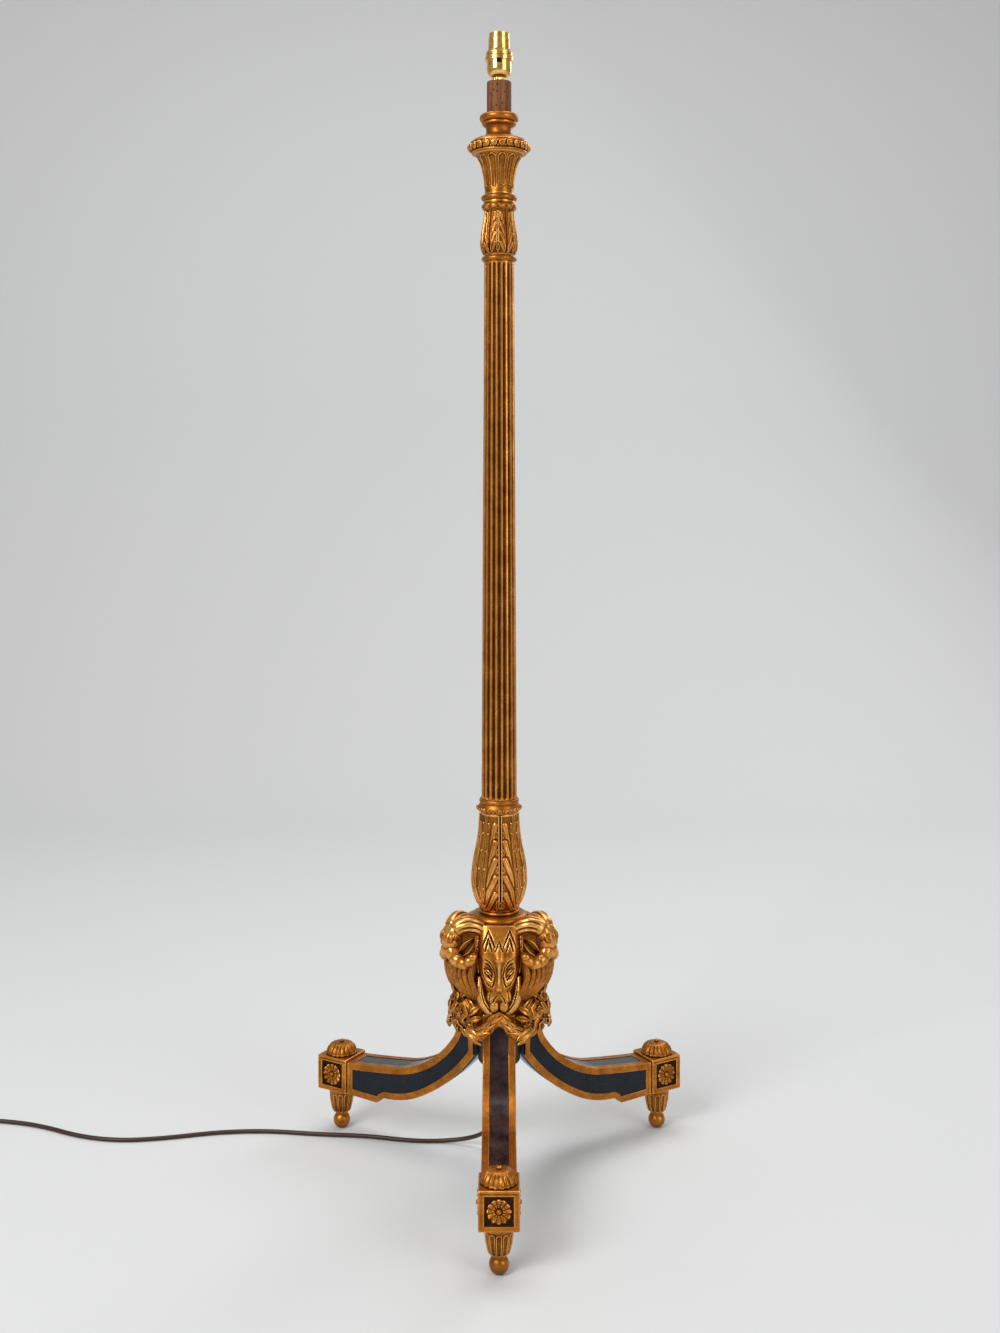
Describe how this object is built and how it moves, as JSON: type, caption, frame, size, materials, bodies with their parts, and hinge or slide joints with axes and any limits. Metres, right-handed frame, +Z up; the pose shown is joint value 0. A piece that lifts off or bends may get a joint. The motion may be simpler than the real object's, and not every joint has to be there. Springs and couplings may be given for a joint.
{
  "type": "candlestick floor lamp",
  "caption": "Floor lamp: fluted giltwood standard with acanthus carving, rams' heads and roses, on a scrolled tripod, with a bayonet lampholder.",
  "frame": {"origin": "the column's axis at the floor", "axes": "+Z up along the column; the front leg points to -Y; the free cord lies towards -X"},
  "size_m": [1.1218, 0.4658, 1.5706],
  "materials": {
    "giltwood": "bronze gilding over carved wood, rubbed, dark in the recesses",
    "ebonised_panel": "gloss black-blue lacquer on wood",
    "dark_wood": "ebonised turned wood",
    "bare_wood": "bare walnut with pin holes",
    "dowel_wood": "plain beech",
    "polished_brass": "polished, lacquered",
    "contact_brass": "satin",
    "black_phenolic": "moulded phenolic",
    "spring_steel": "drawn wire",
    "cord_sheath": "dark brown sheath, semi-matt",
    "bush_rubber": "matt black",
    "plug_shell": "moulded urea, black",
    "fuse_ceramic": "glazed tube"
  },
  "bodies": {
    "lamp": {"acanthus_baluster": "giltwood", "acanthus_knop": "giltwood", "base_ring": "giltwood", "capital": "giltwood", "column_collar": "giltwood", "cord_bush": "bush_rubber", "cord_coil": "cord_sheath", "cord_free": "cord_sheath", "entry_nipple": "polished_brass", "fluted_column": "giltwood", "fluted_cup": "giltwood", "foot_block_front": "giltwood", "foot_block_rear_left": "giltwood", "foot_block_rear_right": "giltwood", "foot_caps": "giltwood", "foot_rosettes": "giltwood", "frame_dowels": "dowel_wood", "hub_block": "giltwood", "hub_boss": "dark_wood", "inner_flex": "cord_sheath", "insulator": "black_phenolic", "knop_ring": "giltwood", "lampholder_barrel": "polished_brass", "lampholder_cap": "polished_brass", "leg_front": "giltwood", "leg_panels_front": "ebonised_panel", "leg_panels_rear_left": "ebonised_panel", "leg_panels_rear_right": "ebonised_panel", "leg_rear_left": "giltwood", "leg_rear_right": "giltwood", "neck_wool": "giltwood", "nipple_nut": "polished_brass", "plug_base": "plug_shell", "plug_cover": "plug_shell", "plug_fuse": "fuse_ceramic", "plug_pins": "contact_brass", "plunger_spring_left": "spring_steel", "plunger_spring_right": "spring_steel", "ram_ears": "giltwood", "ram_head_front": "giltwood", "ram_head_rear_left": "giltwood", "ram_head_rear_right": "giltwood", "ram_horns_front": "giltwood", "ram_horns_rear_left": "giltwood", "ram_horns_rear_right": "giltwood", "roses_back": "giltwood", "roses_left": "giltwood", "roses_right": "giltwood", "swag_front": "giltwood", "swag_rear_left": "giltwood", "swag_rear_right": "giltwood", "terminal_screws": "polished_brass", "top_spigot": "bare_wood", "turned_feet": "giltwood", "upper_ring": "giltwood"},
    "push_bar": {"push_bar": "black_phenolic"},
    "shade_ring": {"shade_ring": "polished_brass"},
    "contact_left": {"contact_plunger_left": "contact_brass"},
    "contact_right": {"contact_plunger_right": "contact_brass"}
  },
  "joints": [
    {"name": "push_bar_slide", "type": "slide", "parent": "lamp", "child": "push_bar", "axis": [0, -1, 0], "range_m": [0, 0.005]},
    {"name": "shade_ring_lift", "type": "slide", "parent": "lamp", "child": "shade_ring", "axis": [0, 0, 1], "range_m": [0, 0.014]},
    {"name": "contact_left_press", "type": "slide", "parent": "lamp", "child": "contact_left", "axis": [0, 0, -1], "range_m": [0, 0.0035], "stiffness_N_per_m": 1500, "springref_m": -0.002, "deforming": ["plunger_spring_left"]},
    {"name": "contact_right_press", "type": "slide", "parent": "lamp", "child": "contact_right", "axis": [0, 0, -1], "range_m": [0, 0.0035], "stiffness_N_per_m": 1500, "springref_m": -0.002, "deforming": ["plunger_spring_right"]}
  ]
}
